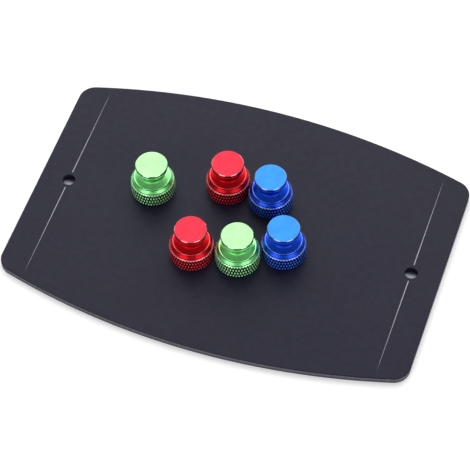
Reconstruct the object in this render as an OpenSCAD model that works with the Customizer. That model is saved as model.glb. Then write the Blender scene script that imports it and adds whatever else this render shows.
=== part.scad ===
// Magnetic circuit board holder: a coated steel plate with six turned pillars that slide on it.
// A magnet in the foot of each pillar holds it wherever it is put, and the edges of a circuit
// board sit in the hollows under the pillars' caps.
// Origin: centre of the plate's underside. X runs along the plate, Z is up. Millimetres.

/* [Base plate] */
// Length over the two straight ends
plate_length = 170; // [140:1:240]
// Width across the middle, where the long sides bow out furthest
plate_width = 120; // [100:1:160]
// How far each long side bows out between its corners
plate_bow = 12.5; // [5:0.5:20]
// Thickness of the steel
plate_thickness = 3; // [1.5:0.1:6]
// Radius of the four corners
corner_radius = 7; // [3:0.5:15]
// Bevel along the upper and lower edges
plate_bevel = 0.25; // [0.1:0.05:0.5]
// Diameter of the two fixing holes
hole_diameter = 5.2; // [3:0.1:8]
// Distance from a straight end to the middle of its hole
hole_inset = 12; // [8:0.5:20]

/* [Pillars] */
// Diameter over the knurled foot
pillar_diameter = 18; // [16.4:0.1:24]
// Height of a pillar
pillar_height = 16.2; // [13.5:0.1:24]
// Height of the flat ring on top of the knurled foot
foot_height = 6.65; // [6:0.05:8]
// Bevel at the top and the bottom of the knurled foot
foot_bevel = 0.4; // [0.2:0.05:0.6]
// Width of the flat ring on top of the knurled foot
ring_width = 0.1; // [0.05:0.05:0.5]
// Height of the step from the ring up to the shoulder
shoulder_step = 0.55; // [0.2:0.05:1]
// Rise of the sloping shoulder
shoulder_rise = 0.9; // [0.4:0.05:1.4]
// Diameter of the board ledge
ledge_diameter = 15.2; // [13.8:0.1:16.8]
// Height of the upright side of the board ledge, with its rounding
ledge_rise = 0.75; // [0.45:0.05:1.5]
// Radius of the rounding round the board ledge
ledge_rounding = 0.35; // [0.1:0.05:0.4]
// Width of the flat on top of the board ledge
ledge_flat = 0.2; // [0.1:0.05:0.6]
// Slope of the cone that rises from the ledge to the neck, in degrees
seat_slope = 28; // [15:1:40]
// Diameter of the neck
neck_diameter = 9.4; // [8:0.1:10.8]
// Radius of the hollow where the cone meets the neck
neck_fillet = 1; // [0.3:0.1:1.6]
// Diameter of the cap
cap_diameter = 13; // [12:0.1:16]
// Height of the cap
cap_height = 2.2; // [2.1:0.05:3]
// Height of the upright band round the cap, with its chamfer
cap_band = 0.9; // [0.5:0.05:1]
// Width of the bright chamfer round the top of the cap
cap_chamfer = 0.22; // [0.1:0.02:0.4]
// Height of the steep upper flank of the trim groove below the band
groove_upper_flank = 0.3; // [0.1:0.05:0.4]
// Height of the longer lower flank of the trim groove
groove_lower_flank = 0.65; // [0.3:0.05:0.7]
// Depth of the trim groove
cap_groove_depth = 0.35; // [0.1:0.05:0.6]
// Bevel round the underside of the cap
cap_bevel = 0.2; // [0.05:0.05:0.3]

/* [Diamond knurl] */
// Diamonds round the foot
knurl_teeth = 48; // [30:2:64]
// Rows of crests up the foot, each half a diamond further round than the one below
knurl_rows = 4; // [3:1:7]
// Depth of the knurled grooves
knurl_depth = 0.35; // [0.15:0.05:0.5]

/* [Magnets] */
// Diameter of a magnet
magnet_diameter = 12; // [8:0.1:15]
// Thickness of a magnet
magnet_thickness = 5; // [3:0.1:5.5]
// Gap round a magnet, filled with adhesive
magnet_gap = 0.05; // [0.02:0.01:0.15]
// How far a magnet's face lies above the underside of its pillar
magnet_recess = 0.2; // [0.1:0.05:0.4]

/* [Places on the plate] */
// Gap between two pillars that stand side by side
pillar_gap = 0.6; // [0.3:0.1:4]
// Middle of the green pillar at the left
left_green_at = [-38.5, 6.9]; // [-60:0.1:60]
// Middle of the red pillar in the back pair
back_red_at = [-9.5, 17]; // [-60:0.1:60]
// Direction from the back red pillar to the back blue one, in degrees
back_pair_turn = -3.5; // [-10:0.5:10]
// Middle of the red pillar in the front row
front_red_at = [-12.8, -18]; // [-60:0.1:60]
// Direction from the front red pillar to the front green one, in degrees
front_pair_turn = 9; // [0:0.5:15]
// Direction from the front green pillar to the right blue one, in degrees
right_pair_turn = 29; // [20:0.5:40]

/* [Hidden] */
$fn = 96;

steel_black = [0.24, 0.24, 0.27];
anodised_green = [0.36, 0.78, 0.38];
anodised_red = [0.86, 0.10, 0.16];
anodised_blue = [0.10, 0.36, 0.90];
nickel = [0.74, 0.73, 0.70];

// How far a cutting shape runs past the surface that it cuts
cut_margin = 1;

// Plate outline: the long sides are arcs through the middle of the bow and the virtual end corners
bow_radius = (pow(plate_length / 2, 2) + pow(plate_bow, 2)) / (2 * plate_bow);
bow_centre_y = plate_width / 2 - bow_radius;
// Each corner arc touches its straight end and its bowed side
corner_x = plate_length / 2 - corner_radius;
corner_y = bow_centre_y + sqrt(pow(bow_radius - corner_radius, 2) - pow(corner_x, 2));
// Direction, from each arc's own middle, in which the corner arc and the bowed side touch
bow_start = 90 - asin(corner_x / (bow_radius - corner_radius));
corner_steps = 14;
bow_steps = 40;
hole_x = plate_length / 2 - hole_inset;

// Heights of a pillar's profile above the plate
shoulder_low_z = foot_height + shoulder_step;
shoulder_z = shoulder_low_z + shoulder_rise;
ledge_z = shoulder_z + ledge_rise;
cap_low_z = pillar_height - cap_height;
cap_band_z = pillar_height - cap_band;
cap_groove_z = cap_band_z - groove_upper_flank;
cap_lip_z = cap_groove_z - groove_lower_flank;

// Radii of a pillar's profile
foot_r = pillar_diameter / 2;
shoulder_r = foot_r - foot_bevel - ring_width;
ledge_r = ledge_diameter / 2;
seat_r = ledge_r - ledge_rounding - ledge_flat;
neck_r = neck_diameter / 2;
cap_r = cap_diameter / 2;
cap_groove_r = cap_r - cap_groove_depth;
rounding_steps = 6;

// The hollow is an arc that touches the cone and the neck
fillet_centre = [neck_r + neck_fillet,
                 ledge_z + (seat_r - neck_r - neck_fillet) * tan(seat_slope) + neck_fillet / cos(seat_slope)];
fillet_on_cone = fillet_centre - neck_fillet * [sin(seat_slope), cos(seat_slope)];

// The knurl fills the foot between its two bevels
knurl_low_z = foot_bevel;
knurl_high_z = foot_height - foot_bevel;
knurl_levels = knurl_rows - 1;
knurl_points = 2 * knurl_teeth;

pocket_depth = magnet_recess + magnet_thickness;
pocket_diameter = magnet_diameter + 2 * magnet_gap;

// Where the pillars stand that are placed beside another one
pair_pitch = pillar_diameter + pillar_gap;
back_blue_at = beside(back_red_at, back_pair_turn);
front_green_at = beside(front_red_at, front_pair_turn);
right_blue_at = beside(front_green_at, right_pair_turn);

function beside(at, turn) = at + pair_pitch * [cos(turn), sin(turn)];

// Points on an arc, with both its ends
function arc_points(centre, r, from, to, steps) =
    [for (i = [0:steps]) let (turn = from + (to - from) * i / steps) centre + r * [cos(turn), sin(turn)]];

// The plate's outline set in by a margin: each half is a corner, a bowed side and a corner, and the
// second half is the first one turned by half a turn
function plate_points(inset) =
    let (first = arc_points([corner_x, corner_y], corner_radius - inset, 0, bow_start, corner_steps),
         bow = arc_points([0, bow_centre_y], bow_radius - inset, bow_start, 180 - bow_start, bow_steps),
         last = arc_points([-corner_x, corner_y], corner_radius - inset, 180 - bow_start, 180, corner_steps),
         half = concat(first, [for (i = [1:bow_steps - 1]) bow[i]], last))
    concat(half, -half);

// Coated steel plate with bowed long sides, rounded corners, bevelled edges and two fixing holes
module base_plate() {
    color(steel_black)
    difference() {
        hull() {
            linear_extrude(plate_thickness) polygon(plate_points(plate_bevel));
            translate([0, 0, plate_bevel])
                linear_extrude(plate_thickness - 2 * plate_bevel) polygon(plate_points(0));
        }
        for (side = [-1, 1])
            translate([side * hole_x, 0, -cut_margin])
                cylinder(h = plate_thickness + 2 * cut_margin, d = hole_diameter);
    }
}

// Turned pillar: a knurled foot, a shoulder, the board ledge, the sloping seat, the neck and the cap
module pillar(at, finish) {
    color(finish)
    translate([at[0], at[1], plate_thickness])
    difference() {
        union() {
            knurled_foot();
            rotate_extrude() pillar_section();
        }
        translate([0, 0, -cut_margin]) cylinder(h = pocket_depth + cut_margin, d = pocket_diameter);
    }
}

// Half of the turned profile above the knurled foot, which it enters by the width of the cut margin.
// The hollow at the foot of the neck is cut from a straight corner.
module pillar_section() {
    ledge_middle = [ledge_r - ledge_rounding, ledge_z - ledge_rounding];
    ledge = arc_points(ledge_middle, ledge_rounding, 0, 90, rounding_steps);
    difference() {
        polygon(concat(
            [[0, foot_height - cut_margin], [shoulder_r, foot_height - cut_margin],
             [shoulder_r, shoulder_low_z], [ledge_r, shoulder_z]],
            ledge,
            [[seat_r, ledge_z], fillet_on_cone, [neck_r, fillet_centre[1]],
             [neck_r, cap_low_z], [cap_r - cap_bevel, cap_low_z], [cap_r, cap_low_z + cap_bevel],
             [cap_r, cap_lip_z], [cap_groove_r, cap_groove_z], [cap_r, cap_band_z],
             [cap_r, pillar_height - cap_chamfer], [cap_r - cap_chamfer, pillar_height], [0, pillar_height]]));
        intersection() {
            translate(fillet_centre) circle(r = neck_fillet);
            translate([0, ledge_z]) square([foot_r, fillet_centre[1] - ledge_z]);
        }
    }
}

// Solid foot with a diamond knurl: rows of points that step from crest to groove round the foot,
// each row half a diamond further round than the row below it
module knurled_foot() {
    rim = [for (i = [0:knurl_points - 1]) ring_point(i, foot_r - foot_bevel, 0)];
    rows = [for (level = [0:knurl_levels], i = [0:knurl_points - 1]) knurl_point(i, level)];
    top = [for (i = [0:knurl_points - 1]) ring_point(i, foot_r - foot_bevel, foot_height)];
    last = knurl_levels + 2;
    polyhedron(
        points = concat(rim, rows, top),
        faces = concat(
            [[for (i = [0:knurl_points - 1]) i]],
            [for (level = [0:last - 1], i = [0:knurl_points - 1]) each knurl_cell(i, level)],
            [[for (i = [knurl_points - 1:-1:0]) last * knurl_points + i]]));
}

function ring_point(i, r, z) = [r * cos(360 * i / knurl_points), r * sin(360 * i / knurl_points), z];

function knurl_point(i, level) =
    ring_point(i, foot_r - ((i + level) % 2 == 0 ? 0 : knurl_depth),
               knurl_low_z + (knurl_high_z - knurl_low_z) * level / knurl_levels);

// Two triangles between two rows, split along the groove and never across a crest
function knurl_cell(i, level) =
    let (next = (i + 1) % knurl_points,
         low = level * knurl_points + i,
         low_next = level * knurl_points + next,
         high = low + knurl_points,
         high_next = low_next + knurl_points)
    (i + level) % 2 == 0
        ? [[low, high, high_next], [low, high_next, low_next]]
        : [[low, high, low_next], [low_next, high, high_next]];

// Nickel-plated disc magnet, glued into the foot of a pillar
module magnet(at) {
    color(nickel)
    translate([at[0], at[1], plate_thickness + magnet_recess])
        cylinder(h = magnet_thickness, d = magnet_diameter);
}

base_plate();
pillar(left_green_at, anodised_green);  // left_green_pillar
pillar(back_red_at, anodised_red);  // back_red_pillar
pillar(back_blue_at, anodised_blue);  // back_blue_pillar
pillar(front_red_at, anodised_red);  // front_red_pillar
pillar(front_green_at, anodised_green);  // front_green_pillar
pillar(right_blue_at, anodised_blue);  // right_blue_pillar
magnet(left_green_at);  // left_green_magnet
magnet(back_red_at);  // back_red_magnet
magnet(back_blue_at);  // back_blue_magnet
magnet(front_red_at);  // front_red_magnet
magnet(front_green_at);  // front_green_magnet
magnet(right_blue_at);  // right_blue_magnet
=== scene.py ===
# %% [markdown]
# # A magnetic circuit board holder
# A black coated steel plate carries six small turned pillars of anodised aluminium, two green, two
# red and two blue. A circuit board lies between the pillars, with its edges on their ledges. The
# construction comes ready made at its real size, so this lesson is about what makes such plain
# pieces look real: the coating, the dyed metal, the cut edges and the light. Every piece arrives
# in its place.

# %% Load the holder
from collections import namedtuple
from math import cos, degrees, pi, radians, sin

import bpy
from mathutils import Matrix, Vector


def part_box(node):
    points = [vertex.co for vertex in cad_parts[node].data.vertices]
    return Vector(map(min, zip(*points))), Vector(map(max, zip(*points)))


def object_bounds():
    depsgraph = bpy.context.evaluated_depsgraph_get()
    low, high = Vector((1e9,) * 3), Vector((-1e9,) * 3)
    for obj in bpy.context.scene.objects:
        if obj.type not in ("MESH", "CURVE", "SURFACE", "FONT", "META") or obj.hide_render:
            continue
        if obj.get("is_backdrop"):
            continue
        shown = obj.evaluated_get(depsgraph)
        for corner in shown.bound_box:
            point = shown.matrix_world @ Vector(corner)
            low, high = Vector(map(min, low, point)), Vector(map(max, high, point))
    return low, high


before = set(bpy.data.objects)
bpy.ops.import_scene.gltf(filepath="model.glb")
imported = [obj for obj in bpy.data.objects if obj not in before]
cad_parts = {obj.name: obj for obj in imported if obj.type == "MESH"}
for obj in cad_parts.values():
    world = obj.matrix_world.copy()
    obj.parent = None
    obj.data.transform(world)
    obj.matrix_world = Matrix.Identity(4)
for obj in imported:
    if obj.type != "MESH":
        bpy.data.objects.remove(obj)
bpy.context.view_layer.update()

scene = bpy.context.scene
print("pieces:", ", ".join(sorted(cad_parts)))

# %% [markdown]
# ## The camera
# Small products are photographed from some way off with a long lens, so that the far end of the
# plate is nearly as large as the near one. The camera could be aimed with a constraint, but here
# its three axes are worked out from an azimuth, an elevation and a small roll, because those are
# the numbers that can be read from the ellipses of the caps and from the plate's corners.

# %% Directions round the holder
WORLD_UP = Vector((0, 0, 1))


def direction(azimuth, elevation):
    """Unit vector from the object towards a viewer or a lamp. Azimuth 0 stands in front, at -Y."""
    return Vector((sin(azimuth) * cos(elevation), -cos(azimuth) * cos(elevation), sin(elevation)))


print("straight in front is", tuple(direction(0, 0)))

# %% The camera's place
CAMERA_AZIMUTH = radians(20.64)
CAMERA_ELEVATION = radians(55.52)
CAMERA_ROLL = radians(-1.94)
CAMERA_DISTANCE = 0.8032
# How far the camera stands to the right and up from the line through the origin
CAMERA_OFFSET = (-0.00085, -0.00218)
SENSOR_WIDTH = 36
PICTURE_SIDE = 470
FOCAL_LENGTH_IN_PIXELS = 1985.2
FARTHEST_SEEN = 20

back = direction(CAMERA_AZIMUTH, CAMERA_ELEVATION)
level = WORLD_UP.cross(back).normalized()
upright = back.cross(level)
right = level * cos(CAMERA_ROLL) + upright * sin(CAMERA_ROLL)
up = upright * cos(CAMERA_ROLL) - level * sin(CAMERA_ROLL)

camera = bpy.data.objects.new("camera", bpy.data.cameras.new("camera"))
scene.collection.objects.link(camera)
camera.data.sensor_width = SENSOR_WIDTH
camera.data.lens = SENSOR_WIDTH * FOCAL_LENGTH_IN_PIXELS / PICTURE_SIDE
camera.data.clip_end = FARTHEST_SEEN
place = back * CAMERA_DISTANCE + right * CAMERA_OFFSET[0] + up * CAMERA_OFFSET[1]
camera.matrix_world = Matrix.Translation(place) @ Matrix((right, up, back)).transposed().to_4x4()
scene.camera = camera
scene.view_settings.view_transform = "Standard"
print("lens:", round(camera.data.lens, 1), "mm, camera at", [round(c, 3) for c in place])

# %% [markdown]
# ## Small helpers for shader nodes
# A finish is a little graph of nodes, and writing each one out takes many lines. These helpers add
# a node with its settings, and accept either a number or another node's output for each input. The
# same graph can be drawn by hand in the shader editor, but in code one finish can be made six
# times with small changes.

# %% One node
def add(tree, kind, inputs=(), **settings):
    """A new node. Inputs maps a socket's name or number to a value or to another node's output."""
    node = tree.nodes.new("ShaderNode" + kind)
    for name, value in settings.items():
        setattr(node, name, value)
    for name, value in dict(inputs).items():
        if isinstance(value, bpy.types.NodeSocket):
            tree.links.new(value, node.inputs[name])
        else:
            node.inputs[name].default_value = value
    return node


def new_finish(name):
    """An empty material with its node tree and its principled shader."""
    material = bpy.data.materials.new(name)
    material.use_nodes = True
    tree = material.node_tree
    return material, tree, tree.nodes["Principled BSDF"]


print("one node at a time: add, new_finish")


# %% Arithmetic with nodes
def calc(tree, operation, *values):
    """One step of arithmetic on numbers or node outputs."""
    return add(tree, "Math", enumerate(values), operation=operation).outputs[0]


def vector(tree, operation, *values, **named):
    """One step of arithmetic on vectors."""
    inputs = {**dict(enumerate(values)), **named}
    return add(tree, "VectorMath", inputs, operation=operation).outputs[0]


def split(tree, value):
    """The X, Y and Z of a vector."""
    return add(tree, "SeparateXYZ", {0: value}).outputs


print("arithmetic: calc, vector, split")

# %% Ranges, blends and noise
BLACK = (0, 0, 0, 1)
WHITE = (1, 1, 1, 1)
# Soft noise has hardly any values outside this range
NOISE_RANGE = (0.3, 0.7)


def between(tree, value, low, high, start=0.0, end=1.0, smooth=True):
    """Carries a value that runs from low to high over to one that runs from start to end."""
    kind = "SMOOTHSTEP" if smooth else "LINEAR"
    ends = {"Value": value, "From Min": low, "From Max": high, "To Min": start, "To Max": end}
    return add(tree, "MapRange", ends, interpolation_type=kind).outputs["Result"]


def mix(tree, share, first, second):
    """Blends two colours, each a node output or a plain colour."""
    inputs = {0: share, 6: first, 7: second}
    return add(tree, "Mix", inputs, data_type="RGBA").outputs[2]


def own_place(tree):
    """Where the shaded point is in its object's own coordinates, in metres."""
    return add(tree, "TexCoord").outputs["Object"]


def noise(tree, place, scale, detail=2.0, roughness=0.5):
    """Soft random values from 0 to 1 that are the same at each run."""
    inputs = {"Vector": place, "Scale": scale, "Detail": detail, "Roughness": roughness}
    return add(tree, "TexNoise", inputs).outputs["Fac"]


print("shaping: between, mix, own_place, noise")

# %% [markdown]
# ## The floor
# The holder lies on a seamless white sheet. It could curve up behind the holder, but the camera
# looks down on it, so a plain diffuse plane fills the picture and gives a soft contact shadow. For
# the camera and for mirrors the plane also glows a little, which lifts it to the white of a lit
# backdrop without more light on the holder itself. Under the plate it doesn't glow, because the
# two holes would show that. Deep in each hole the sheet lies in the shadow of the hole's rear
# wall. Large soft lamps fill that shadow more than they should, so a shadow is painted on the sheet
# there, darker towards the back. Under the plate the sheet is also painted a little bluish, a
# painted reflection of light that comes off the coated wall.

# %% Masks on the floor
# How much each long side of the plate draws in from its middle to its ends
PLATE_BOW = 0.0125
EDGE_SOFTNESS = 0.004
HOLE_SHADE = (0.0, 0.0021)
DEEPEST_SHADE = 0.1
plate_low, plate_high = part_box("base_plate")


def outside_plate(tree):
    """0 on the floor under the plate and 1 beside it."""
    x, y = split(tree, vector(tree, "ABSOLUTE", own_place(tree)))[:2]
    along = calc(tree, "DIVIDE", x, plate_high.x)
    bow = calc(tree, "MULTIPLY", calc(tree, "MULTIPLY", along, along), PLATE_BOW)
    past_side = calc(tree, "ADD", calc(tree, "SUBTRACT", y, plate_high.y), bow)
    past_edge = calc(tree, "MAXIMUM", past_side, calc(tree, "SUBTRACT", x, plate_high.x))
    return between(tree, past_edge, -EDGE_SOFTNESS, 0.0)


def hole_shade(tree):
    """A painted shadow: 1 on the front half of the floor, almost nothing from just behind the
    middle of the holes.
    """
    y = split(tree, own_place(tree))[1]
    return between(tree, y, *HOLE_SHADE, 1.0, DEEPEST_SHADE)


print("plate:", [round(1000 * side, 1) for side in plate_high - plate_low], "mm")

# %% A pale floor that keeps the shadow
FLOOR_RADIUS = 4.0
FLOOR_CORNERS = 96
FLOOR_COLOUR = (0.86, 0.86, 0.87, 1)
# Under the plate the sheet's colour holds a painted bluish reflection of the coated wall
UNDER_PLATE_PAPER_AND_BOUNCE = (0.84, 0.83, 1.0, 1)
FLOOR_ROUGHNESS = 0.9
FLOOR_SPECULAR = 0.1
FLOOR_LIFT = 0.28


def seen_directly(tree):
    """1 for rays from the camera, off mirrors and through glass, 0 for those that light things."""
    path = add(tree, "LightPath")
    seen = calc(tree, "MAXIMUM", path.outputs["Is Camera Ray"], path.outputs["Is Glossy Ray"])
    return calc(tree, "MAXIMUM", seen, path.outputs["Is Transmission Ray"])


bpy.ops.mesh.primitive_circle_add(vertices=FLOOR_CORNERS, radius=FLOOR_RADIUS, fill_type="NGON")
floor = bpy.context.object
floor.name = "floor"
floor_paper, tree, shader = new_finish("floor_paper")
# Painted shadow towards the back of the holes, on a colour with a painted bluish reflection
under_plate = mix(tree, hole_shade(tree), BLACK, UNDER_PLATE_PAPER_AND_BOUNCE)
paper = mix(tree, outside_plate(tree), under_plate, FLOOR_COLOUR)
tree.links.new(paper, shader.inputs["Base Color"])
shader.inputs["Roughness"].default_value = FLOOR_ROUGHNESS
shader.inputs["Specular IOR Level"].default_value = FLOOR_SPECULAR
glow = calc(tree, "MULTIPLY", seen_directly(tree), outside_plate(tree))
tree.links.new(calc(tree, "MULTIPLY", glow, FLOOR_LIFT), shader.inputs["Emission Strength"])
shader.inputs["Emission Color"].default_value = WHITE
floor.data.materials.append(floor_paper)
floor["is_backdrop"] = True
print("floor:", 2 * FLOOR_RADIUS, "m across")

# %% [markdown]
# ## Soft studio light
# Bare metal shows little but its surroundings, so what stands round the holder matters more than
# how strongly it is lit. A picture of a studio could be wrapped round it, but a few plain lamps
# are easier to move about. A wide soft box hangs over the far side, where the flat caps mirror it
# towards the camera. Two narrower boxes stand in front at both sides and leave the pair of bright
# lobes on every sloping ring. In mirrors the room is white behind the holder and dim on the
# camera's side, so that the metal between the lobes stays deep in colour. The camera itself sees
# plain white.

# %% The room
WORLD_FILL = 0.26
NEAR_SIDE = 0.33
FAR_SIDE = 1.0
# Straight away from the camera is 1 and straight towards it is -1
FAR_SIDE_REACH = (0.25, 0.75)

world = bpy.data.worlds.new("studio")
scene.world = world
world.use_nodes = True
tree = world.node_tree
tree.nodes["Background"].inputs["Color"].default_value = WHITE
ahead = tuple(-level.cross(WORLD_UP))
way = {0: add(tree, "TexCoord").outputs["Generated"], 1: ahead}
far_side = add(tree, "VectorMath", way, operation="DOT_PRODUCT").outputs["Value"]
room = between(tree, far_side, *FAR_SIDE_REACH, NEAR_SIDE, FAR_SIDE)
path = add(tree, "LightPath")
mirrored = calc(tree, "MAXIMUM", path.outputs["Is Glossy Ray"], path.outputs["Is Transmission Ray"])
filling = calc(tree, "MULTIPLY", calc(tree, "SUBTRACT", 1.0, mirrored), WORLD_FILL)
strength = calc(tree, "ADD", calc(tree, "MULTIPLY", mirrored, room), filling)
backdrop = calc(tree, "MULTIPLY", path.outputs["Is Camera Ray"], 1 - WORLD_FILL)
tree.links.new(calc(tree, "ADD", strength, backdrop), tree.nodes["Background"].inputs["Strength"])
print("world fill:", WORLD_FILL)

# %% Lamps
BACK_BOX = {"elevation": 38, "distance": 1.3, "width": 2.3, "height": 2.2}
FRONT_BOX = {"elevation": 26, "distance": 1.0, "width": 0.52, "height": 0.80}


def soft_box(name, azimuth, elevation, distance, width, height, brightness):
    """A rectangular lamp that faces the holder. Brightness is what a mirror would show of it."""
    lamp = bpy.data.objects.new(name, bpy.data.lights.new(name, "AREA"))
    lamp.data.shape = "RECTANGLE"
    lamp.data.size = width
    lamp.data.size_y = height
    lamp.data.energy = brightness * pi * width * height
    towards = direction(radians(azimuth), radians(elevation))
    lamp.location = towards * distance
    lamp.rotation_euler = towards.to_track_quat("Z", "Y").to_euler()
    lamp.visible_camera = False
    scene.collection.objects.link(lamp)
    print(name, "at azimuth", azimuth, "with", round(lamp.data.energy, 2), "W")


soft_box("back_box", azimuth=197, brightness=1.95, **BACK_BOX)
soft_box("left_box", azimuth=-20, brightness=2.3, **FRONT_BOX)
soft_box("right_box", azimuth=57, brightness=2.1, **FRONT_BOX)

# %% [markdown]
# ## Black coating on steel
# The plate is laser cut and then coated with a satin black that has a faint blue cast. Its top has
# the fine mottle of sprayed paint and reflects the studio softly. A texture painted on the plate
# could hold this, but noise placed by the plate's own coordinates stays sharp at any distance.

# %% The sprayed coating
COATING_COLOUR = (0.0070, 0.0064, 0.0200, 1)
COATING_MOTTLE = (0.0105, 0.0100, 0.0260, 1)
COATING_SPECULAR = 0.16
COATING_ROUGHNESS = (0.40, 0.46)
CLOUDS_PER_METRE = 28
MOTTLE_PER_METRE = 380
GRAINS_PER_METRE = 2600

coating, tree, shader = new_finish("plate_coating")
spot = own_place(tree)
clouds = noise(tree, spot, CLOUDS_PER_METRE, detail=3)
mottle = noise(tree, spot, MOTTLE_PER_METRE, detail=3)
grain = noise(tree, spot, GRAINS_PER_METRE, detail=1)
base = mix(tree, between(tree, mottle, *NOISE_RANGE), COATING_COLOUR, COATING_MOTTLE)
roughness = between(tree, clouds, *NOISE_RANGE, *COATING_ROUGHNESS)
tree.links.new(roughness, shader.inputs["Roughness"])
shader.inputs["Specular IOR Level"].default_value = COATING_SPECULAR
print("sprayed", coating.name)

# %% [markdown]
# Two thin lines are scribed from end to end through the middles of the holes, as marks for the
# board. They could be cut into the mesh, but they are hardly deeper than the coating, so a mask
# that gives colour and a little relief is enough. The scriber's pressure drops towards the
# corners, so each line gets thinner on its way out from the hole. Coating is left in the bottom of
# the scratch here and there.

# %% Where the lines run
LINE_INSET = 0.012
LINE_WIDTH = 0.00040
LINE_TIP_WIDTH = 0.000075
LINE_SOFTNESS = (-0.00002, 0.00004)
# Starts and ends are distances from the middle of the hole
LINE_START = 0.0038
LINE_START_FADE = 0.0004
LINE_END = 0.049
LINE_END_FADE = 0.007
# Facing straight up is 1
TOP_FACING = 0.9
line_x = plate_high.x - LINE_INSET

x, y, z = split(tree, spot)
normal = split(tree, add(tree, "NewGeometry").outputs["Normal"])
sideways, facing = normal[0], normal[2]
across = calc(tree, "ABSOLUTE", calc(tree, "SUBTRACT", calc(tree, "ABSOLUTE", x), line_x))
reach = calc(tree, "ABSOLUTE", y)
widths = (LINE_WIDTH / 2, LINE_TIP_WIDTH / 2)
half_width = between(tree, reach, LINE_START, LINE_END, *widths, smooth=False)
line = between(tree, calc(tree, "SUBTRACT", half_width, across), *LINE_SOFTNESS)
past_start = between(tree, reach, LINE_START, LINE_START + LINE_START_FADE)
before_end = between(tree, reach, LINE_END - LINE_END_FADE, LINE_END, 1, 0)
on_top = calc(tree, "GREATER_THAN", facing, TOP_FACING)
for limit in (past_start, before_end, on_top):
    line = calc(tree, "MULTIPLY", line, limit)
print("lines at x", round(1000 * line_x, 1), "mm and", 1000 * LINE_WIDTH, "mm wide at the holes")

# %% Bare steel in the lines
LINE_COLOUR = (0.43, 0.42, 0.475, 1)
SCRATCHED_GRAIN = (0.2, 0.6)
LEAST_SCRATCHED = 0.55

scratched = between(tree, grain, *SCRATCHED_GRAIN, LEAST_SCRATCHED, 1)
base = mix(tree, calc(tree, "MULTIPLY", line, scratched), base, LINE_COLOUR)
print("bare steel shows through at least", LEAST_SCRATCHED, "of a line")

# %% [markdown]
# Round the rim the coating is thin, so the cut steel shows through with the upright streaks that a
# laser leaves. It gets darker towards the bottom, where the beam comes out and dross is left, and
# towards the left end. The walls of the holes keep their coating, a little lighter than on top,
# which is painted fill light. The rim could have a finish of its own, but in one finish the way the
# surface faces tells rim from top, and the two run into each other over the bevel as they do on the
# plate.

# %% Walls of the holes
WALL_FACING = (0.25, 0.5)
HOLE_REACH = 0.004
# Lighter than the coating on top, as painted fill light
HOLE_WALL_PAINTED_FILL = (0.0120, 0.0112, 0.0240, 1)

wall = between(tree, calc(tree, "ABSOLUTE", facing), *WALL_FACING, 1, 0)
in_hole = calc(tree, "LESS_THAN", calc(tree, "MAXIMUM", across, reach), HOLE_REACH)
# Painted fill light on the walls of the holes
base = mix(tree, calc(tree, "MULTIPLY", wall, in_hole), base, HOLE_WALL_PAINTED_FILL)
wall = calc(tree, "MULTIPLY", wall, calc(tree, "SUBTRACT", 1.0, in_hole))
print("walls within", 1000 * HOLE_REACH, "mm of a hole's middle are coated")

# %% Cut edges
CUT_STEEL = (0.073, 0.068, 0.086, 1)
CUT_STEEL_LIGHT = (0.130, 0.123, 0.150, 1)
STREAKS_PER_METRE = 2400
STREAK_STRETCH = (1, 1, 0.08)
DROSS_HEIGHTS = (0.0002, 0.0020)
DROSS_SHARE = 0.8
# Facing straight to the left is -1
LEFT_END = (-0.85, -0.35)
LEFT_END_DARKENING = 0.75

streak_spot = vector(tree, "MULTIPLY", spot, STREAK_STRETCH)
streaks = noise(tree, streak_spot, STREAKS_PER_METRE, detail=2, roughness=0.7)
dross = between(tree, z, *DROSS_HEIGHTS, DROSS_SHARE, 0)
# The cut edge gets darker towards the left end
left_darkening = between(tree, sideways, *LEFT_END, LEFT_END_DARKENING, 0)
steel = mix(tree, between(tree, streaks, *NOISE_RANGE), CUT_STEEL, CUT_STEEL_LIGHT)
steel = mix(tree, dross, steel, COATING_COLOUR)
steel = mix(tree, left_darkening, steel, COATING_COLOUR)
base = mix(tree, wall, base, steel)
tree.links.new(base, shader.inputs["Base Color"])
print("streaks are", round(1 / STREAK_STRETCH[2], 1), "times as high as they are wide")

# %% [markdown]
# The paint has a grain that can be felt, the lines are grooves and the streaks stand up a little.
# All of that is less than a tenth of a millimetre, too fine for the mesh, so one bump carries it.

# %% Relief of the plate
GRAIN_HEIGHT = 0.5
SCRATCH_DEPTH = -1.5
STREAK_HEIGHT = 4
RELIEF_UNIT = 0.00002
RELIEF_STRENGTH = 0.35

relief = calc(tree, "MULTIPLY", grain, GRAIN_HEIGHT)
relief = calc(tree, "ADD", relief, calc(tree, "MULTIPLY", line, SCRATCH_DEPTH))
rough_wall = calc(tree, "MULTIPLY", wall, streaks)
relief = calc(tree, "ADD", relief, calc(tree, "MULTIPLY", rough_wall, STREAK_HEIGHT))
bump = add(tree, "Bump", {"Height": relief, "Strength": RELIEF_STRENGTH, "Distance": RELIEF_UNIT})
tree.links.new(bump.outputs[0], shader.inputs["Normal"])
print("a unit of relief is", 1000 * RELIEF_UNIT, "mm")


# %% Coat the plate
def dress(name, material):
    """Gives a piece of the construction its finish and leaves its shape as it is."""
    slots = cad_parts[name].data.materials
    slots.clear()
    slots.append(material)


dress("base_plate", coating)
print("coated the plate")

# %% [markdown]
# ## Dyed and anodised aluminium
# The pillars are turned on a lathe, then anodised and dyed. They could be shaded as paint, a
# colour under a gloss, but here the metal itself carries the colour. So the shader is a metal with
# a strong tint, under a thin clear layer, the sealed oxide, which adds the whitish shine of the
# rims. The green dye is light and leaves the metal brighter than the red and the blue do. The flat
# caps mirror the wide soft box, so each dye has a second, paler colour for them, a painted
# highlight, and a third one where it is worn, which is also a painted highlight.

# %% Dyes
Dye = namedtuple("Dye", "deep pale worn seal")
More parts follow.
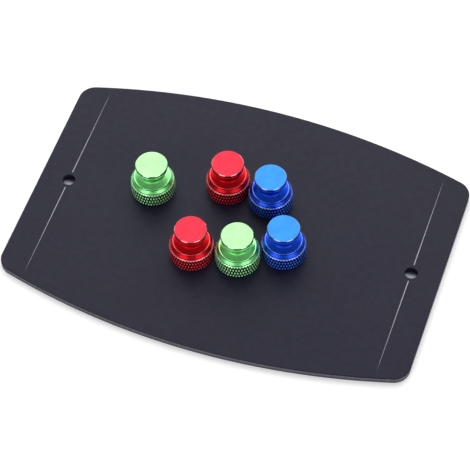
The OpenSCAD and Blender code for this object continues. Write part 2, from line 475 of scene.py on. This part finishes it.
# Each cap colour is a painted highlight; each worn colour is wear and a painted highlight
DYES = {
    "green": Dye(deep=(0.195, 0.76, 0.205, 1), pale=(0.235, 0.52, 0.205, 1),
                 worn=(0.44, 0.95, 0.46, 1), seal=0.80),
    "red": Dye(deep=(0.58, 0.0019, 0.0078, 1), pale=(0.49, 0.0205, 0.0380, 1),
               worn=(0.88, 0.034, 0.060, 1), seal=0.08),
    "blue": Dye(deep=(0.0032, 0.060, 0.65, 1), pale=(0.019, 0.163, 0.52, 1),
                worn=(0.036, 0.18, 0.95, 1), seal=0.20),
}
print("dyes:", ", ".join(DYES))

# %% Where a point is on a pillar
Point = namedtuple("Point", "x y height radius normal facing")


def lathe_point(tree, axis):
    """The shaded point as a lathe sees it: x and y from the axis, height above the plate, radius,
    the surface normal and how much that faces up."""
    foot = (axis.x, axis.y, plate_high.z)
    x, y, height = split(tree, vector(tree, "SUBTRACT", own_place(tree), foot))
    square = calc(tree, "ADD", calc(tree, "MULTIPLY", x, x), calc(tree, "MULTIPLY", y, y))
    normal = add(tree, "NewGeometry").outputs["Normal"]
    return Point(x, y, height, calc(tree, "SQRT", square), normal, split(tree, normal)[2])


print("a point has:", ", ".join(Point._fields))

# %% [markdown]
# The shape itself tells where a turned part wears and where it catches the light. Its flat top,
# its edges and its hollow can be found from the height, the radius and the way a surface faces.
# Wear and highlights could be painted on the mesh, but then each of the six pillars would need its
# own painting.

# %% Masks for the turned shape
# Heights are above the plate
CAP_TOP = 0.01610
CAP_EDGE = 0.01590
CAP_LOW = 0.0138
# Each of these edges is an inner radius and two heights
LEDGE_EDGE = (0.00722, 0.00855, 0.00888)
FOOT_RING = (0.00855, 0.00615, 0.00668)
RIM_SOFTNESS = 0.00004
NECK_HOLLOW = (0.0052, 0.0058)
FLAT_FACING = 0.95


def rim_mask(tree, point, inner, low, high):
    """1 on a turned edge that lies outside a radius and between two heights above the plate."""
    outside = between(tree, point.radius, inner - RIM_SOFTNESS, inner + RIM_SOFTNESS)
    above = between(tree, point.height, low - RIM_SOFTNESS, low + RIM_SOFTNESS)
    below = between(tree, point.height, high, high + RIM_SOFTNESS, 1, 0)
    return calc(tree, "MULTIPLY", calc(tree, "MULTIPLY", outside, above), below)


def turned_masks(tree, point):
    """1 on the flat top of the cap, on the chamfer round it, on the ledge's edge, on the ring above
    the knurl, and in the hollow between the cone and the neck."""
    flat = calc(tree, "GREATER_THAN", point.facing, FLAT_FACING)
    sloping = calc(tree, "LESS_THAN", point.facing, FLAT_FACING)
    at_neck = between(tree, point.radius, *NECK_HOLLOW, 1, 0)
    cap_top = calc(tree, "GREATER_THAN", point.height, CAP_TOP)
    cap_edge = calc(tree, "GREATER_THAN", point.height, CAP_EDGE)
    below_cap = calc(tree, "LESS_THAN", point.height, CAP_LOW)
    return {
        "cap": calc(tree, "MULTIPLY", flat, cap_top),
        "chamfer": calc(tree, "MULTIPLY", sloping, cap_edge),
        "ledge": rim_mask(tree, point, *LEDGE_EDGE),
        "ring": rim_mask(tree, point, *FOOT_RING),
        "hollow": calc(tree, "MULTIPLY", at_neck, below_cap),
    }


print("turned edges at radii", 1000 * LEDGE_EDGE[0], "and", 1000 * FOOT_RING[0], "mm")

# %% [markdown]
# The knurl stands in rows of small points with grooves crossing between them. How far a point lies
# from the axis tells groove from ridge, and its height tells how near it is to a row of crests.

# %% Masks for the knurl
FOOT_TOP = 0.00625
FOOT_SOFTNESS = 0.0001
KNURL_DEPTH = 0.00035
KNURL_LOW = 0.00040
KNURL_ROW = 0.00195
# Shares of the way up from the bottom of a groove to a crest
GROOVE_RISE = (0.05, 0.70)
CREST_RISE = (0.30, 0.50)
# Shares of the step from one row to the next, of which half is as far as a point can be from a row
CREST_REACH = (0.20, 0.46)
HALF_A_STEP = 0.5


def knurl_masks(tree, point, foot_radius):
    """1 in the knurl's grooves, and 1 near the point of each crest."""
    foot = between(tree, point.height, FOOT_TOP, FOOT_TOP + FOOT_SOFTNESS, 1, 0)
    ridge = between(tree, point.radius, foot_radius - KNURL_DEPTH, foot_radius, smooth=False)
    row = calc(tree, "DIVIDE", calc(tree, "SUBTRACT", point.height, KNURL_LOW), KNURL_ROW)
    from_row = calc(tree, "PINGPONG", row, HALF_A_STEP)
    near_row = between(tree, from_row, *CREST_REACH, 1, 0)
    crest = calc(tree, "MULTIPLY", between(tree, ridge, *CREST_RISE), near_row)
    groove = between(tree, ridge, *GROOVE_RISE, 1, 0)
    return {
        "groove": calc(tree, "MULTIPLY", groove, foot),
        "crest": calc(tree, "MULTIPLY", crest, foot),
    }


print("rows of crests every", 1000 * KNURL_ROW, "mm")

# %% [markdown]
# The dye sits in the pores of a thin skin. Fingers wear it first on the crests of the knurl and on
# the ring above them, and boards wear it on the ledge. There the paler wear colour is also a
# painted highlight for the glints of those edges. The chamfer round the cap, the ledge and the ring
# are partly bare metal and partly a painted highlight. The grooves are darkened as painted shade.
# Each of these is one blend towards another colour, steered by a mask, so any of them can be made
# stronger by itself.

# %% Wear and painted highlights of the skin
# Share of the wear colour, which is also a painted highlight, on the ledge
LEDGE_WEAR_AND_HIGHLIGHT = 0.6


def wear_mask(tree, masks):
    """1 where the dye is rubbed through and a highlight is painted, which the ledge nowhere is."""
    ledge = calc(tree, "MULTIPLY", masks["ledge"], LEDGE_WEAR_AND_HIGHLIGHT)
    return calc(tree, "MAXIMUM", masks["crest"], calc(tree, "MAXIMUM", masks["ring"], ledge))


print("wear of the ledge:", LEDGE_WEAR_AND_HIGHLIGHT)

# %% Colour of the skin
SKIN_CLOUDS_PER_METRE = 300
CLOUD_DARKNESS = 0.14
# Painted shade in the knurl's grooves
GROOVE_PAINTED_SHADE = 0.9
# Partly bare metal and partly a painted highlight on the edges
BARE_METAL_AND_HIGHLIGHT = (0.80, 0.82, 0.84, 1)
BARE_AND_HIGHLIGHT = {"chamfer": 0.27, "ledge": 0.03, "ring": 0.24}


def skin_colour(tree, dye, masks):
    """The dyed colour with faint clouds, painted shade in the grooves, a paler cap as painted
    highlight, and rubbed crests and edges that are also painted highlights.
    """
    clouds = noise(tree, own_place(tree), SKIN_CLOUDS_PER_METRE, detail=2)
    cloudy = between(tree, clouds, *NOISE_RANGE, CLOUD_DARKNESS, 0.0)
    # Paler colour on the flat cap, a painted highlight
    tint = mix(tree, masks["cap"], dye.deep, dye.pale)
    tint = mix(tree, cloudy, tint, BLACK)
    # Painted shade in the grooves
    tint = mix(tree, calc(tree, "MULTIPLY", masks["groove"], GROOVE_PAINTED_SHADE), tint, BLACK)
    # Wear colour on crests, ring and ledge, also a painted highlight
    tint = mix(tree, masks["wear"], tint, dye.worn)
    # Edges partly bare metal and partly a painted highlight
    bare_and_highlight = 0.0
    for name, share in BARE_AND_HIGHLIGHT.items():
        bare_and_highlight = calc(tree, "MAXIMUM", bare_and_highlight, calc(tree, "MULTIPLY", masks[name], share))
    return mix(tree, bare_and_highlight, tint, BARE_METAL_AND_HIGHLIGHT)


print("bare shares of the edges:", BARE_AND_HIGHLIGHT)

# %% [markdown]
# The turning tool leaves fine rings round the axis. They stretch each highlight across the rings,
# and the metal shader has a setting for that. The hollow is cut by a shaped tool, which leaves it
# rougher. Worn crests shine less than the rest, and no clear skin is left in the grooves. Where
# two cuts meet, a light last pass breaks the edge. Such edges are the smoothest of all and have
# the full shine of the clear skin.

# %% Rings of the turning tool
RINGS_PER_METRE = 9000
# Step through the noise for each radian round a ring, small so that the rings stay whole
RING_DRIFT = 0.0002


def turning_rings(tree, point):
    """The rings that the turning tool leaves, as values from 0 to 1."""
    turn = calc(tree, "MULTIPLY", calc(tree, "ARCTAN2", point.y, point.x), RING_DRIFT)
    spot = add(tree, "CombineXYZ", {0: point.radius, 1: point.height, 2: turn}).outputs[0]
    return noise(tree, spot, RINGS_PER_METRE, detail=2, roughness=0.6)


print("rings about", round(1000 / RINGS_PER_METRE, 2), "mm apart")

# %% Gloss of the skin
SKIN_ROUGHNESS = (0.29, 0.35)
HOLLOW_ROUGHER = 0.18
CREST_ROUGHER = 0.22
SMOOTHER = {"chamfer": 0.17, "ledge": 0.10, "ring": 0.08}
# Less metal where wear and painted highlights are
WORN_HIGHLIGHT_METALLIC = 0.5
RING_STRETCH = 0.35
SEAL_ROUGHNESS = 0.12


def set_gloss(tree, shader, masks, rings, seal):
    """Gives the shader its metal, its roughness and its clear layer."""
    metal = between(tree, masks["wear"], 0, 1, 1.0, WORN_HIGHLIGHT_METALLIC)
    rougher = calc(tree, "MULTIPLY", masks["hollow"], HOLLOW_ROUGHER)
    rougher = calc(tree, "MAXIMUM", rougher, calc(tree, "MULTIPLY", masks["crest"], CREST_ROUGHER))
    roughness = between(tree, rings, *NOISE_RANGE, *SKIN_ROUGHNESS)
    clear = between(tree, masks["groove"], 0, 1, seal, 0, smooth=False)
    for name, smoother in SMOOTHER.items():
        roughness = calc(tree, "SUBTRACT", roughness, calc(tree, "MULTIPLY", masks[name], smoother))
        clear = calc(tree, "MAXIMUM", clear, masks[name])
    tangent = add(tree, "Tangent", direction_type="RADIAL", axis="Z").outputs[0]
    tree.links.new(metal, shader.inputs["Metallic"])
    tree.links.new(calc(tree, "ADD", roughness, rougher), shader.inputs["Roughness"])
    tree.links.new(clear, shader.inputs["Coat Weight"])
    tree.links.new(tangent, shader.inputs["Tangent"])
    shader.inputs["Anisotropic"].default_value = RING_STRETCH
    shader.inputs["Coat Roughness"].default_value = SEAL_ROUGHNESS


print("roughness of the skin:", SKIN_ROUGHNESS)

# %% [markdown]
# Rolling presses the crests of a knurl into small rounded points, and the ring above them is
# broken round as well. Both catch the light. In the construction they are sharp, so the shader
# lets its normal lean up there. The turning rings are far too fine for geometry, and a bump shows
# them.

# %% Relief too small to model
CREST_TILT = radians(36)
RING_ROUNDING = 0.9
RING_RELIEF = 0.25
RING_HEIGHT = 0.000004


def small_relief(tree, point, masks, rings):
    """The surface normal with rounded crests, a rounded ring above them, and turning rings."""
    outward = add(tree, "CombineXYZ", {0: point.x, 1: point.y, 2: 0.0}).outputs[0]
    outward = vector(tree, "NORMALIZE", outward)
    outward = vector(tree, "SCALE", outward, Scale=cos(CREST_TILT))
    rounded = vector(tree, "ADD", outward, (0, 0, sin(CREST_TILT)))
    ring = calc(tree, "MULTIPLY", masks["ring"], RING_ROUNDING)
    rounding = calc(tree, "MAXIMUM", masks["crest"], ring)
    blend = {0: rounding, 4: point.normal, 5: rounded}
    surface = add(tree, "Mix", blend, data_type="VECTOR").outputs[1]
    surface = vector(tree, "NORMALIZE", surface)
    bump = {"Height": rings, "Strength": RING_RELIEF, "Distance": RING_HEIGHT, "Normal": surface}
    return add(tree, "Bump", bump).outputs[0]


print("crests lean up by", round(degrees(CREST_TILT)), "degrees")


# %% Dye the pillars
def anodised(name, dye, axis, foot_radius):
    """Turned aluminium with a dyed skin. Axis is any point on the pillar's own axis."""
    material, tree, shader = new_finish(name)
    point = lathe_point(tree, axis)
    rings = turning_rings(tree, point)
    masks = turned_masks(tree, point) | knurl_masks(tree, point, foot_radius)
    masks["wear"] = wear_mask(tree, masks)
    tree.links.new(skin_colour(tree, dye, masks), shader.inputs["Base Color"])
    tree.links.new(small_relief(tree, point, masks, rings), shader.inputs["Normal"])
    set_gloss(tree, shader, masks, rings, dye.seal)
    return material


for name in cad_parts:
    if name.endswith("_pillar"):
        low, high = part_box(name)
        dye_name = name.split("_")[1]
        foot_radius = (high.x - low.x) / 2
        dress(name, anodised(name + "_finish", DYES[dye_name], (low + high) / 2, foot_radius))
        print(name, "is dyed", dye_name)

# %% [markdown]
# ## Magnets
# Each foot holds a disc magnet with a bright nickel plating. It could have a finish as rich as the
# pillars', but it shows only from below, so a plain lightly scratched metal is enough.

# %% Nickel plating
NICKEL = (0.50, 0.49, 0.46, 1)
NICKEL_LIGHT = (0.62, 0.60, 0.56, 1)
NICKEL_ROUGHNESS = (0.18, 0.34)
SCUFFS_PER_METRE = 900

plating, tree, shader = new_finish("magnet_plating")
scuffs = noise(tree, own_place(tree), SCUFFS_PER_METRE, detail=4, roughness=0.7)
roughness = between(tree, scuffs, *NOISE_RANGE, *NICKEL_ROUGHNESS)
tree.links.new(mix(tree, scuffs, NICKEL, NICKEL_LIGHT), shader.inputs["Base Color"])
tree.links.new(roughness, shader.inputs["Roughness"])
shader.inputs["Metallic"].default_value = 1.0
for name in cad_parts:
    if name.endswith("_magnet"):
        dress(name, plating)
print("plated the magnets")

# %% [markdown]
# ## Measure and finish
# Both boxes are written down for comparison.

# %% Sizes
low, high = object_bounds()
